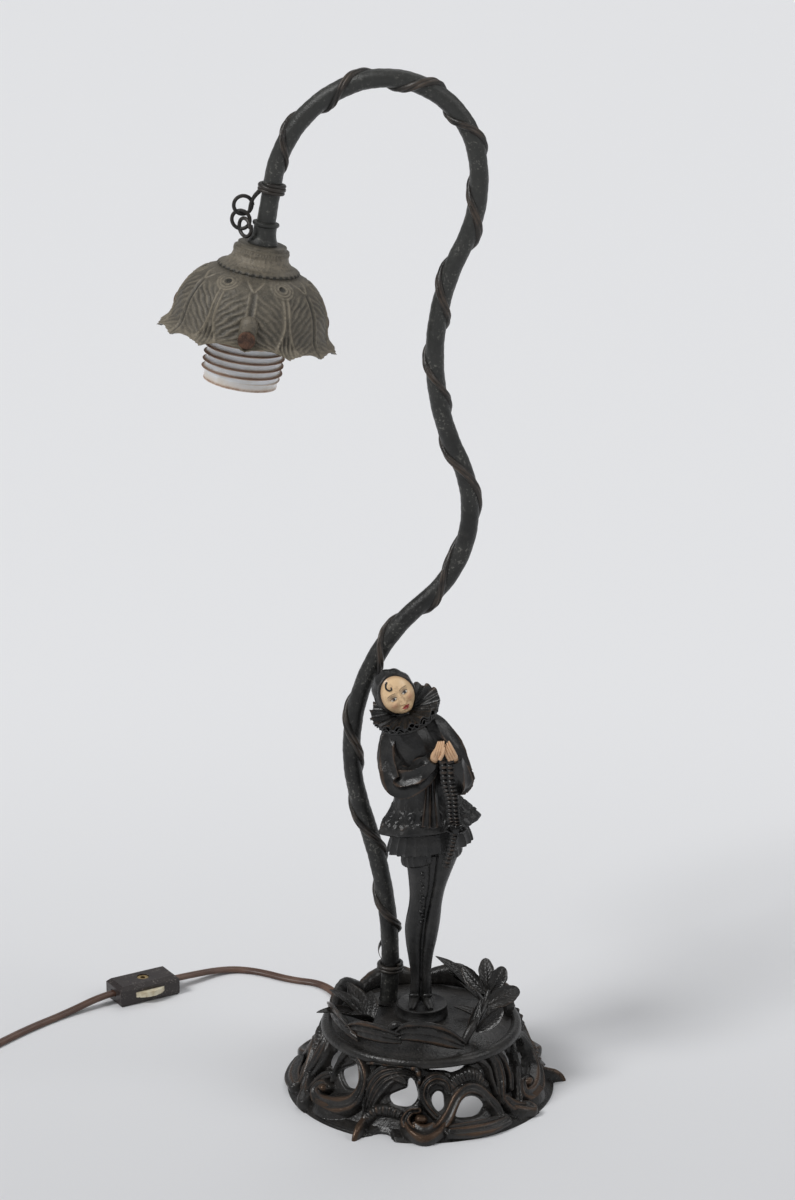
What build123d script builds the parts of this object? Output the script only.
"""Figural table lamp: an openwork cast base, a curved stem wound with a vine,
a costumed figure on a small plinth, and a bell-shaped shade cap round a
porcelain lampholder, with an inline cord switch and a coiled flexible cord.

Millimetres. X is to the lamp's right, Y is towards its back, Z is up, and the
origin is the centre of the foot, on the surface that the lamp stands on.
A heading round the base is counted from the front (-Y) towards +X.
"""
from build123d import *
from math import atan2, cos, degrees, hypot, pi, radians, sin, sqrt, tan
import os

# ---------------------------------------------------------------- fits
SEAT = 0.1            # gap between two pieces that are cemented or nested
CLEARANCE = 0.3       # gap between a fixed piece and the hole it passes
RUNNING = 0.08        # radial running clearance of a shaft in its bore

# ---------------------------------------------------------------- base
FOOT_R = 70.0         # outer radius of the skirt at the floor
NECK_R = 52.5         # outer radius of the skirt under the tray
SKIRT_H = 34.5        # height of the skirt
SKIRT_SIDES = 36      # flat facets round the pierced wall
SKIRT_KNEE = 0.42     # share of the height at which the flare bends
SKIRT_WALL = 2.6      # wall of the pierced skirt
SKIRT_RELIEF = 1.7    # how far the scrollwork stands off the wall
FOOT_RING_H = 1.4     # height of the lobed ring that the lamp rests on
REPEATS = 3           # the scrollwork repeats this many times round the skirt
TRAY_R = 55.0         # outer radius of the tray's lip
TRAY_LIP_H = 4.0      # height of the lip
TRAY_RISE = 3.5       # the tray's floor stands this far over its lip
TRAY_WALL = 2.6       # thickness of the tray
LEAF_WALL = 1.7       # thickness of a cast leaf
SCREW_R = 1.5         # base screws
SCREW_CIRCLE_R = 45.0
SCREW_HEAD_LOW = 2.4  # height of their heads
LUG_R, LUG_H = 4.0, 8.0
TRAY_TOP = SKIRT_H + TRAY_LIP_H + TRAY_RISE    # floor of the tray at its middle

# ---------------------------------------------------------------- stem
STEM_R = 4.9          # outer radius of the tube
STEM_BORE_R = 3.6     # bore that the lead runs in
STEM_Y = 18.0         # the stem's bends lie in this upright plane
STEM_FOOT = (-18.06, 42.3)    # X and Z where the stem leaves the tray
STEM_HEADING = 84.7   # lean of the stem at its foot, degrees from +X
STEM_TAIL = 11.0      # length of the stem under the tray's floor
# Tangent bends from the foot to the shade: radius, then turn in degrees (left is positive).
STEM_BENDS = [(259.0, 23.2), (254.1, -4.3), (108.1, -63.9), (66.1, 76.0), (124.7, -53.1),
              (75.4, 38.2), (47.6, 101.3), (64.7, 58.0)]
STEM_END_RUN = 29.0   # straight run down to the shade cap
STEM_INTO_CAP = 22.0  # threaded end inside the cap and the lampholder
LEAD_INTO_CAP = 30.0
WASHER_R, WASHER_T = 9.0, 1.2
WASHER_AT = -4.6      # the washer's seat under the tray, as a length along the stem
NUT_ACROSS, NUT_H = 8.2, 4.0    # hexagon nuts: radius over the corners, and height

# ---------------------------------------------------------------- vine
VINE_W = 4.2          # width of the ribbon
VINE_T = 1.5          # thickness of the ribbon
# Lengths along the stem at which the ribbon crosses its front.
VINE_CROSSINGS = [21.0, 51.0, 101.0, 158.0, 208.0, 256.0, 326.0, 376.0, 419.0, 467.0, 515.0, 547.0,
                  588.0, 629.0, 672.0]
VINE_SKIP, VINE_TURNS = 0.2, 13.4      # turns at which the ribbon starts and ends
VINE_STEPS = 10       # sections in each turn
VINE_RING_R = 1.2     # thickness radius of the tied rings
TENDRIL_RING_R = 4.4  # middle radius of one tendril ring
TENDRIL_R = 0.75      # thickness radius of the tendril
# Rings: X, distance behind the stem's plane, Z, and turn about the upright through the middle.
TENDRIL_RINGS = [(-92.2, 0.0, 486.0, 10.0), (-93.4, 0.0, 478.4, -12.0), (-91.2, -3.2, 475.0, -50.0)]

# ---------------------------------------------------------------- shade cap and lampholder
CAP_GAP = 4.7         # from the end of the stem's straight run to the cap's top plate
CAP_WALL = 1.8
CAP_PLATE_R = 12.7
CAP_STEP_R = 16.3
CAP_NECK_R = 21.0
CAP_BEAD_R = 23.3
CAP_DOME = [(24.6, 15.2), (31.4, 20.4), (35.8, 27.4), (37.8, 34.0), (39.5, 42.6), (42.6, 48.2)]
CAP_RIM_R = 45.4      # radius of the flared rim
CAP_RIM_T = 52.6      # distance of the rim below the top plate
CAP_LOBES = 12        # scallops round the rim
CAP_PLATE_T = 2.2
CAP_EYE_T, CAP_EYE_R = 19.0, 1.9    # pierced eye at the top of every other leaf
SOCKET_R = 19.9       # porcelain outside
SOCKET_TOP_T, SOCKET_MOUTH_T = 14.0, 74.2
SOCKET_WEB = 4.0
SOCKET_BORE_R = 14.6
SHELL_R = 13.2        # inner radius of the brass screw shell
SHELL_WALL = 0.6
SHELL_TOP_T, SHELL_MOUTH_T = 40.0, 72.0
INSULATOR_T = 4.0
TERMINAL_OUT = 9.0    # terminal screws, from the cap's axis
CONTACT_R = 3.0
CONTACT_PAD_R, CONTACT_T = 4.8, 1.0   # the flat pad that the bulb presses on
SCREW_T = 41.0        # distance of the thumbscrews below the top plate
SCREW_SHANK_R = 2.0
SCREW_HEAD_R = 4.1
SCREW_HEAD_T = 2.2
SCREW_HEAD_FACE = 43.0     # inner face of the head, from the cap's axis
SCREW_LENGTH = 10.5        # shank length inside the head
BOSS_R = 4.6
BOSS_FACE = 42.2

# ---------------------------------------------------------------- figure
PLINTH_R = 14.1
PLINTH_H = 7.0
PLINTH_AT = (0.4, -0.7)
HEAD_AT = (-15.0, -1.0, 228.6)
HEAD_R = (11.2, 10.6, 12.4)     # half width, half depth, half height
HEAD_TILT = -28.0               # lean of the head towards the stem, degrees
HEAD_NOD = 8.0                  # forward nod, degrees
HEAD_LOOK = 12.0                # turn about the head's own upright axis
FACE_PROUD = 0.4                # the face stands this far out of the head's ball
FACE_SET = 1.6                  # and is let in this deep
FACE_HALF_W, FACE_HALF_H = 8.4, 10.6
HIP_TILT = 8.3                  # the hips and hems rise this much to the right, degrees
RUFF_AT = (-8.6, -1.6, 217.0)
RUFF_R = 19.4
RUFF_TILT = (26.0, -15.0, 0.0)  # the ruff dips to the front and to the left
RUFF_PLEATS = 18
RIBBON_W, RIBBON_T = 4.2, 2.2
FIGURE_SCREW_R = 2.0
FIGURE_SCREW_IN = 5.0           # depth of the screw in the plinth

# ---------------------------------------------------------------- cord
CORD_W = 5.3          # width of the flat twin cord
CORD_T = 2.7          # its thickness
CORD_FIT = 0.25       # gap between the cord and the slot that grips it
FLOOR_GAP = 0.05      # the cord lies this far over the floor
BUSHING_HEADING = -156.5
BUSHING_Z = 6.6
BUSHING_R = 4.0
BUSHING_L = 7.6
BUSHING_FLANGE = 1.5
BUSHING_LAND = 1.0    # the flange and its boss are this much larger than the grommet
BUSHING_AT = 64.6     # middle of the grommet, from the base's axis
CORD_INTO_SWITCH = 5.0
CONTACT_L, CONTACT_W, CONTACT_OUT = 5.0, 4.0, 7.0
SWITCH_AT = (-161.0, 117.0)
SWITCH_TURN = 31.0    # heading of the switch body from +X, degrees
SWITCH_L, SWITCH_W, SWITCH_H = 38.0, 19.0, 12.0
WHEEL_R, WHEEL_T = 13.0, 3.0
WHEEL_NOTCHES = 20
RIVET_R = 2.0
COIL_AT = (-297.0, 40.0)
COIL_R = 42.55        # middle of the outermost turn
COIL_START = -36.9    # where the cord runs into the coil, degrees from +X
COIL_HALF_TURNS = 7   # half turns in the lower layer; the climb and the upper layer have as many
COIL_GAP = 0.6        # gap between neighbouring turns
PLUG_L, PLUG_W, PLUG_H = 26.0, 21.0, 13.0
PLUG_BEND = -10.0     # turn of the cord's tail towards the plug, degrees
TAIL_RUN = 22.0
BLADE_PITCH = 12.7
BLADE_W, BLADE_T, BLADE_L, BLADE_IN = 6.35, 1.5, 16.0, 6.0


def save(name, *pieces):
    """Write one node as parts/NAME.step."""
    shape = pieces[0] if len(pieces) == 1 else Compound(children=list(pieces))
    export_step(shape, os.path.join("parts", name + ".step"))


def merge(pieces):
    """Fuse a list of solids into one shape."""
    first, *rest = pieces
    return first.fuse(*rest) if rest else first


def around(count, solid, start=0.0):
    """Copies of a solid, evenly spaced about Z."""
    return [Rot(0, 0, start + 360.0 * n / count) * solid for n in range(count)]


# ================================================================ base
def skirt_radius(z):
    """Outer radius of the skirt at a height: a flare that is steepest at the foot."""
    rise = z / SKIRT_H
    return FOOT_R + (NECK_R - FOOT_R) * rise ** 0.72


def skirt_drum(offset, heights):
    """Many-sided flared body whose sides stand at an offset from the skirt's outer surface."""
    rings = [Pos(0, 0, z) * RegularPolygon(skirt_radius(z) + offset, SKIRT_SIDES) for z in heights]
    return loft(rings, ruled=True)


def skirt_shell(inner, outer, low, high):
    """Flared many-sided ring between two offsets from the skirt's outer surface."""
    heights = [low, low + (high - low) * SKIRT_KNEE, high]
    return skirt_drum(outer, heights) - skirt_drum(inner, heights)


def facing(heading):
    """Upright plane through the axis, facing outwards at a heading: X along the skirt, Y up."""
    a = radians(heading)
    return Plane(origin=(0, 0, 0), x_dir=(cos(a), sin(a), 0), z_dir=(sin(a), -cos(a), 0))


def corners(curve, count):
    """Evenly spaced points along a flat curve, its two ends among them."""
    return [(curve @ (n / count)).to_tuple()[:2] for n in range(count + 1)]


def patch(points):
    """Flat shape inside a smooth closed curve, with short straight sides."""
    outline = corners(Spline(*points, periodic=True), 2 * len(points))
    return make_face(Polyline(*outline[:-1], close=True))


def band(spots):
    """Flat tapering band along a chain of (x, y, half width), with short straight sides."""
    left, right = [], []
    for n, (x, y, half) in enumerate(spots):
        before, after = spots[max(n - 1, 0)], spots[min(n + 1, len(spots) - 1)]
        dx, dy = after[0] - before[0], after[1] - before[1]
        run = hypot(dx, dy)
        left.append((x - dy / run * half, y + dx / run * half))
        right.append((x + dy / run * half, y - dx / run * half))
    sides = 2 * (len(spots) - 1)
    outline = corners(Spline(*left), sides) + corners(Spline(*right[::-1]), sides)
    return make_face(Polyline(*outline, close=True))


def along_skirt(spots, shape):
    """Carry (heading, z, ...) spots to the plane that faces their middle, and extrude outwards."""
    middle = sum(spot[0] for spot in spots) / len(spots)
    flat = [(skirt_radius(max(z, 0)) * sin(radians(heading - middle)), z, *rest)
            for heading, z, *rest in spots]
    return extrude(facing(middle) * shape(flat), amount=FOOT_R + 20)


# Openings in one third of the skirt, as corners of heading and height on a smooth closed curve.
SKIRT_OPENINGS = [
    [(-52.4, 23.7), (-45.7, 28.5), (-39.9, 31.2), (-36.4, 26.6), (-36.0, 21.7), (-38.4, 18.8), (-45.4, 18.4)],
    [(-63.4, 32.0), (-57.4, 32.0), (-56.0, 26.6), (-58.6, 22.4), (-64.2, 22.8)],
    [(-17.4, 17.8), (-12.5, 22.4), (-8.0, 27.4), (-4.6, 27.8), (-2.0, 21.0), (-4.4, 16.2), (-10.4, 14.4)],
    [(6.2, 20.6), (10.2, 21.2), (12.0, 18.4), (11.2, 14.1), (8.2, 12.4), (5.9, 15.6)],
    [(3.6, 34.0), (14.9, 34.4), (27.4, 34.0), (24.4, 31.6), (17.6, 29.4), (10.0, 31.6)],
    [(17.4, 10.8), (22.2, 16.2), (29.2, 16.6), (33.4, 12.4), (30.0, 9.2), (23.6, 8.9)],
    [(37.0, 28.2), (38.3, 25.4), (36.8, 23.0), (35.4, 25.6)],
]

# Raised scrolls in one third of the skirt: each band runs from spot to spot of heading, height, half width.
SKIRT_SCROLLS = [
    # large open scroll that curls in at its foot
    [(-44.5, 34.0, 2.6), (-37.6, 31.8, 3.0), (-33.4, 26.4, 3.2), (-32.9, 19.3, 3.6), (-36.2, 12.2, 4.4),
     (-44.7, 8.0, 4.8), (-54.0, 6.6, 4.2), (-60.4, 9.4, 2.8), (-58.6, 13.8, 2.0), (-54.6, 13.6, 1.6)],
    # bar behind the open scroll
    [(-54.6, 17.4, 1.2), (-54.2, 26.0, 1.4), (-51.4, 33.6, 1.8)],
    # broad leaf on the scroll's back, and the ridge over it
    [(-27.6, 10.4, 2.4), (-27.0, 16.2, 4.2), (-25.3, 22.7, 5.2), (-21.2, 28.2, 5.0), (-14.4, 31.0, 3.6),
     (-8.4, 30.8, 2.2), (-4.0, 28.6, 1.4)],
    [(-31.9, 33.1, 1.4), (-24.6, 34.2, 1.4), (-16.1, 34.4, 1.4), (-7.6, 34.2, 1.6), (-3.0, 33.0, 1.6),
     (-1.6, 28.6, 1.2)],
    # ring round the small opening
    [(14.8, 21.5, 1.8), (12.9, 26.2, 2.2), (7.3, 28.3, 2.4), (2.4, 25.6, 2.4), (1.4, 20.6, 2.6),
     (3.1, 15.4, 2.4), (7.0, 10.6, 1.8)],
    # foot scroll with its curl, which runs over the drop-shaped opening and down to the floor
    [(-1.7, 12.4, 1.6), (-5.1, 11.2, 1.8), (-6.6, 7.7, 2.2), (-3.8, 4.2, 2.6), (1.2, 3.0, 2.8),
     (6.8, 4.4, 3.2), (11.3, 8.2, 3.4), (14.9, 13.7, 3.4), (18.7, 18.4, 3.2), (24.1, 20.9, 3.4),
     (29.9, 19.5, 3.4), (34.8, 13.9, 3.2), (37.4, 8.3, 2.8), (38.0, 3.1, 2.2)],
    [(-3.2, 9.2, 1.2), (-1.2, 9.0, 1.8), (0.8, 8.4, 1.2)],
    # shell over the foot scroll
    [(17.5, 24.6, 2.4), (24.0, 27.0, 3.2), (31.1, 25.4, 3.0), (35.7, 21.6, 1.6)],
    # bar along the floor
    [(13.3, 3.4, 1.6), (21.6, 3.2, 1.8), (30.2, 2.8, 1.8), (37.7, 2.8, 1.4)],
    # arch over the gap at the floor
    [(-27.2, 3.0, 1.6), (-26.9, 7.6, 2.0), (-23.2, 11.3, 2.2), (-16.9, 12.3, 2.4), (-11.6, 11.5, 2.2),
     (-7.6, 10.1, 1.4)],
    # upright leaf and the foot under it
    [(44.6, 34.0, 3.0), (46.5, 29.4, 3.6), (45.6, 22.2, 3.4), (43.8, 16.3, 2.6), (43.1, 11.6, 1.4)],
    [(46.5, 10.9, 2.8), (49.6, 7.1, 3.4), (55.8, 4.7, 2.6)],
]

# Feet in one third of the skirt, where scroll ends reach out over the floor: heading, reach, half width.
SKIRT_FEET = [(1.0, 75.0, 6.4), (-27.0, 74.0, 2.6), (-50.0, 73.0, 5.4), (39.0, 73.5, 3.4)]


def foot_ring():
    """Flat ring on the floor with a rounded lobe under each foot."""
    lobes = [Rot(0, 0, heading) * Pos(0, half - reach) * Circle(half)
             for heading, reach, half in SKIRT_FEET]
    plan = Circle(FOOT_R) + [Rot(0, 0, 360 / REPEATS * n) * lobe for n in range(REPEATS) for lobe in lobes]
    return extrude(plan - Circle(FOOT_R - 2 * SKIRT_WALL), amount=FOOT_RING_H)


def base_skirt():
    """Pierced flaring ring with raised scrolls, on a lobed foot, with three screw lugs."""
    wall = skirt_shell(-SKIRT_WALL, 0.0, 0.0, SKIRT_H)
    relief = skirt_shell(-SKIRT_WALL / 2, SKIRT_RELIEF, FOOT_RING_H, SKIRT_H - 1.0)
    third = merge([along_skirt(spots, band) & relief for spots in SKIRT_SCROLLS])
    holes = [along_skirt(corners, patch) for corners in SKIRT_OPENINGS]
    wall = wall.cut(*[copy for hole in holes for copy in around(REPEATS, hole)])
    body = merge([wall, foot_ring(), *around(REPEATS, third), *around(REPEATS, screw_lug(), 30)])
    seat = BUSHING_AT + BUSHING_L / 2 - BUSHING_FLANGE
    boss = outlet(seat - BUSHING_L / 4) * Cylinder(BUSHING_R + 2 * BUSHING_LAND, BUSHING_L / 2)
    spot_face = outlet(seat + BUSHING_L) * Cylinder(BUSHING_R + BUSHING_LAND + SEAT, 2 * BUSHING_L)
    return body.fuse(boss).cut(bushing_hole(BUSHING_R), spot_face)


def screw_lug():
    """Lug inside the skirt's neck, under the tray, with a clearance hole for a base screw."""
    centre = Pos(SCREW_CIRCLE_R, 0, SKIRT_H - LUG_H / 2)
    reach = NECK_R - SCREW_CIRCLE_R
    lug = centre * (Cylinder(LUG_R, LUG_H) + Pos(reach / 2, 0, 0) * Box(reach, 2 * LUG_R, LUG_H))
    hole = centre * Cylinder(SCREW_R + CLEARANCE, LUG_H)
    inside = Pos(0, 0, SKIRT_H / 2) * Cylinder(NECK_R - SKIRT_WALL / 2, SKIRT_H)
    return (lug - hole) & inside


def outlet(z_out=0.0):
    """Frame of the cord outlet at the back of the skirt: Z runs outwards along the cord."""
    a = radians(BUSHING_HEADING)
    return Plane(origin=(z_out * sin(a), -z_out * cos(a), BUSHING_Z),
                 x_dir=(cos(a), sin(a), 0), z_dir=(sin(a), -cos(a), 0))


def bushing_hole(radius):
    return outlet(BUSHING_AT) * Cylinder(radius, 3 * BUSHING_L)


def cord_bushing():
    """Flanged grommet that lines the outlet, with a flat slot for the cord."""
    sleeve = Cylinder(BUSHING_R - SEAT, BUSHING_L)
    flange = Pos(0, 0, (BUSHING_L - BUSHING_FLANGE) / 2) * Cylinder(BUSHING_R + BUSHING_LAND, BUSHING_FLANGE)
    slot = Box(CORD_W + 2 * CORD_FIT, CORD_T + 2 * CORD_FIT, 2 * BUSHING_L)
    return outlet(BUSHING_AT) * (sleeve + flange - slot)


def tray_profile():
    """Half section of the tray: a rounded lip, a hollow, and a floor that rises to the middle."""
    lip_low, lip_top = SKIRT_H, SKIRT_H + TRAY_LIP_H
    crown = lip_top + TRAY_RISE
    under = crown - TRAY_WALL
    outline = [
        Line((0, crown), (TRAY_R * 0.55, crown)),
        Spline((TRAY_R * 0.55, crown), (TRAY_R * 0.75, crown - 1.6), (TRAY_R - 6.0, lip_top - 0.6)),
        ThreePointArc((TRAY_R - 6.0, lip_top - 0.6), (TRAY_R - 0.6, lip_top - 0.9),
                      (TRAY_R - 0.4, lip_low)),
        Line((TRAY_R - 0.4, lip_low), (NECK_R - 8.0, lip_low)),
        Line((NECK_R - 8.0, lip_low), (NECK_R - 11.0, under - 1.4)),
        Line((NECK_R - 11.0, under - 1.4), (TRAY_R * 0.5, under)),
        Line((TRAY_R * 0.5, under), (0, under)),
        Line((0, under), (0, crown)),
    ]
    return make_face(Curve() + outline)


def base_tray():
    """Tray with the stem's hole, the figure's screw hole and three bosses for the base screws."""
    tray = revolve(Plane.XZ * tray_profile(), Axis.Z)
    figure_hole = Pos(*PLINTH_AT, TRAY_TOP) * Cylinder(FIGURE_SCREW_R + CLEARANCE, 20)
    washer_seat = on_stem(WASHER_AT / 2, Cylinder(WASHER_R + 0.6, -WASHER_AT))
    bosses = around(REPEATS, Pos(SCREW_CIRCLE_R, 0, SKIRT_H + 1.5) * Cylinder(LUG_R, 3.0), 30)
    bores = around(REPEATS, Pos(SCREW_CIRCLE_R, 0, SKIRT_H + 0.8) * Cylinder(SCREW_R + SEAT, 3.6), 30)
    return merge([tray, *bosses, washer_seat]).cut(figure_hole, *bores,
                                                   stem_rod(Circle(STEM_R + CLEARANCE), -STEM_TAIL, 14))


def base_screws():
    """Three cheese-head screws that hold the tray down on the skirt, driven from underneath."""
    head_z = SKIRT_H - LUG_H - SCREW_HEAD_LOW / 2
    shank_top = SKIRT_H + 2.0
    shank_low = SKIRT_H - LUG_H
    screw = (Pos(SCREW_CIRCLE_R, 0, head_z) * Cylinder(2 * SCREW_R, SCREW_HEAD_LOW)
             + Pos(SCREW_CIRCLE_R, 0, (shank_top + shank_low) / 2) * Cylinder(SCREW_R, shank_top - shank_low))
    return around(REPEATS, screw, 30)


# ================================================================ leaves on the tray
def leaf(root, tip, width):
    """Leaf blade between two points, level across: two arcs that meet at its ends, with a midrib."""
    start, end = Vector(*root), Vector(*tip)
    run = end - start
    along = run.normalized()
    across = along.cross(Vector(0, 0, 1)).normalized()
    plane = Plane(origin=start, x_dir=along, z_dir=across.cross(along) * -1)
    length, half = run.length, width / 2
    edges = [ThreePointArc((0, 0), (length * 0.45, half), (length, 0)),
             ThreePointArc((length, 0), (length * 0.45, -half), (0, 0))]
    blade = extrude(plane * make_face(Curve() + edges), amount=LEAF_WALL / 2, both=True)
    rib = plane * (Pos(length * 0.45, 0, 0) * Box(length * 0.86, LEAF_WALL, LEAF_WALL * 1.7))
    return merge([blade, rib])


def rounded(circles):
    """Convex outline round a few circles, each given as (x, y, radius)."""
    edges = [edge for x, y, r in circles for edge in (Pos(x, y) * Circle(r)).edges()]
    return make_hull(edges)


def stroke(circles):
    """Tapering band that runs from circle to circle."""
    links = [rounded(pair) for pair in zip(circles, circles[1:])]
    return merge(links)


def wall_leaf(circles, inner_r, lean=0.16):
    """Leaf that stands on the tray's edge: a patch of a leaning round wall, cut to its outline."""
    low = SKIRT_H + TRAY_LIP_H - 1.0
    high = low + 40.0
    ring = [(inner_r, low), (inner_r + LEAF_WALL, low),
            (inner_r + LEAF_WALL + lean * 40, high), (inner_r + lean * 40, high)]
    wall = revolve(Plane.XZ * make_face(Polyline(*ring, close=True)), Axis.Z)
    middle = sum(c[0] for c in circles) / len(circles)
    flat = [(inner_r * sin(radians(h - middle)), z, r) for h, z, r in circles]
    return extrude(facing(middle) * stroke(flat), amount=FOOT_R) & wall


def limb(joints):
    """Tapering rounded limb: cones between balls, from a chain of (x, y, z, radius)."""
    pieces = [Pos(*joints[0][:3]) * Sphere(joints[0][3])]
    for (ax, ay, az, ar), (bx, by, bz, br) in zip(joints, joints[1:]):
        a, b = Vector(ax, ay, az), Vector(bx, by, bz)
        run = b - a
        plane = Plane(origin=a, z_dir=run.normalized())
        if abs(ar - br) < 0.01:
            cone = extrude(plane * Circle(ar), amount=run.length)
        else:
            cone = plane * (Pos(0, 0, run.length / 2) * Cone(ar, br, run.length))
        pieces += [cone, Pos(bx, by, bz) * Sphere(br)]
    return merge(pieces)


FRONT_LEAVES = [
    # rolled leaf at the front, a folded leaf beside it and a long leaf towards the left
    [(-14.0, 47.6, 5.0), (4.0, 48.4, 5.6), (20.0, 45.4, 4.6), (29.0, 41.6, 2.4)],
    [(-50.0, 43.6, 2.6), (-38.0, 45.6, 4.8), (-24.0, 45.4, 4.6), (-16.0, 43.6, 3.2)],
    [(-84.0, 42.6, 1.8), (-70.0, 44.4, 4.2), (-54.0, 43.4, 3.8), (-44.0, 41.6, 2.4)],
]
BACK_LEAVES = [
    [(96.0, 40.6, 3.4), (112.0, 45.8, 6.4), (128.0, 43.4, 5.0), (140.0, 40.0, 3.0)],
    [(140.0, 40.4, 3.0), (154.0, 46.2, 6.4), (168.0, 44.0, 5.2), (178.0, 40.4, 3.0)],
    [(182.0, 40.6, 3.0), (196.0, 44.6, 6.2), (211.0, 44.0, 5.6), (222.0, 40.0, 3.0)],
    [(222.0, 40.2, 3.0), (234.0, 45.0, 6.2), (247.0, 44.2, 5.4), (260.0, 40.0, 3.0)],
]


def leaf_band(outlines, inner_r):
    """Ring of overlapping leaves along part of the tray's edge."""
    return merge([wall_leaf(outline, inner_r) for outline in outlines])


def leaf_spray_left():
    """Three pointed leaves that fan out of one root at the left of the tray."""
    root = (-29.0, -9.0, TRAY_TOP + 0.9)
    tips = [((-50.0, -3.0, 57.6), 9.5), ((-41.0, 9.0, 55.4), 8.5), ((-27.5, 8.0, 52.0), 8.0),
            ((-55.5, -15.0, 50.4), 7.0)]
    return merge([Pos(*root) * Sphere(2.6)] + [leaf(root, tip, width) for tip, width in tips])


def leaf_spray_right():
    """Upright sprig at the right of the tray: a bent stalk with six leaves."""
    stalk = limb([(24.0, -33.0, TRAY_TOP, 2.2), (30.5, -26.0, 50.0, 2.0), (36.0, -15.0, 61.0, 1.7)])
    leaves = [((36.0, -15.0, 61.0), (35.6, -6.0, 76.5), 9.0), ((36.5, -15.0, 61.0), (43.6, -9.0, 73.0), 9.0),
              ((36.0, -15.0, 61.0), (23.0, -4.0, 71.0), 8.5), ((32.0, -23.0, 54.0), (51.8, -12.0, 60.0), 10.0),
              ((28.0, -29.0, 46.5), (43.0, -27.0, 58.5), 8.0)]
    return merge([stalk] + [leaf(*spec) for spec in leaves])


def leaf_spray_back():
    """Long leaf behind the figure and a short one beside the plinth."""
    long_leaf = leaf((30.0, 6.0, TRAY_TOP + 1.5), (8.5, 33.0, 62.0), 12.0)
    short_leaf = leaf((31.0, -6.0, TRAY_TOP + 1.5), (16.2, -1.0, 48.6), 6.5)
    return merge([long_leaf, short_leaf])


# ================================================================ stem
STEM_PLANE = Plane(origin=(0, STEM_Y, 0), x_dir=(1, 0, 0), z_dir=(0, -1, 0))


def stem_runs(start, end):
    """Flat pieces of the stem's centreline between two lengths, counted from the tray's floor.

    Each piece is (point, heading, radius, turn, length); a straight piece has radius 0.
    """
    heading = radians(STEM_HEADING)
    x = STEM_FOOT[0] - STEM_TAIL * cos(heading)
    z = STEM_FOOT[1] - STEM_TAIL * sin(heading)
    chain = [(0.0, 0.0, STEM_TAIL)]
    chain += [(r, radians(turn), r * abs(radians(turn))) for r, turn in STEM_BENDS]
    chain += [(0.0, 0.0, STEM_END_RUN + CAP_GAP + STEM_INTO_CAP)]
    pieces, walked = [], -STEM_TAIL
    for radius, turn, length in chain:
        low, high = max(start, walked), min(end, walked + length)
        if high - low > 1e-6:
            skip, share = (low - walked) / length, (high - low) / length
            point, way = step_on((x, z), heading, radius, turn * skip, low - walked)
            pieces.append((point, way, radius, turn * share, high - low))
        (x, z), heading = step_on((x, z), heading, radius, turn, length)
        walked += length
    return pieces


def step_on(point, heading, radius, turn, length):
    """Point and heading after a straight run, or after a bend of a radius and turn."""
    x, z = point
    if radius == 0.0:
        return (x + length * cos(heading), z + length * sin(heading)), heading
    side = 1 if turn > 0 else -1
    cx, cz = x - side * radius * sin(heading), z + side * radius * cos(heading)
    after = heading + turn
    return (cx + side * radius * sin(after), cz - side * radius * cos(after)), after


def stem_spot(length):
    """Point and direction of the stem's centreline at a length from the tray's floor."""
    point, way, radius, turn, run = stem_runs(length - 0.01, length)[-1]
    (x, z), heading = step_on(point, way, radius, turn, run)
    return Vector(x, STEM_Y, z), Vector(cos(heading), 0, sin(heading))


def stem_total():
    return sum(r * abs(radians(turn)) for r, turn in STEM_BENDS) + STEM_END_RUN


def stem_rod(section, start, end):
    """Solid with a flat section swept along the stem's centreline between two lengths."""
    edges = []
    for point, way, bend, turn, run in stem_runs(start, end):
        tangent = (cos(way), sin(way))
        if bend == 0.0:
            edges.append(Line(point, (point[0] + run * tangent[0], point[1] + run * tangent[1])))
        else:
            edges.append(JernArc(point, tangent, bend, degrees(turn)))
    path = STEM_PLANE * Wire([edge for piece in edges for edge in piece.edges()])
    return sweep(Plane(origin=path @ 0, x_dir=(0, -1, 0), z_dir=path % 0) * section, path=path)


def stem_tube():
    end = stem_total() + CAP_GAP + STEM_INTO_CAP
    return stem_rod(Circle(STEM_R), -STEM_TAIL, end) - stem_rod(Circle(STEM_BORE_R), -STEM_TAIL, end)


def on_stem(length, shape, spin=0.0):
    """Set a shape that is drawn about Z square on the stem, X towards the front."""
    spot, way = stem_spot(length)
    return Plane(origin=spot, x_dir=(0, -1, 0), z_dir=way) * (Rot(0, 0, spin) * shape)


def ring(outer, inner, height):
    return Cylinder(outer, height) - Cylinder(inner, height)


def stem_washer():
    return on_stem(WASHER_AT - WASHER_T / 2, ring(WASHER_R, STEM_R + CLEARANCE, WASHER_T))


def stem_lock_nut():
    return on_stem(WASHER_AT - WASHER_T - NUT_H, hex_nut(0.0, NUT_H, NUT_ACROSS, STEM_R + RUNNING))


def vine_length(turn):
    """Length along the stem at which the ribbon has made this many turns from its first crossing."""
    before = min(max(int(turn), 0), len(VINE_CROSSINGS) - 2)
    low, high = VINE_CROSSINGS[before], VINE_CROSSINGS[before + 1]
    return low + (turn - before) * (high - low)


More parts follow.
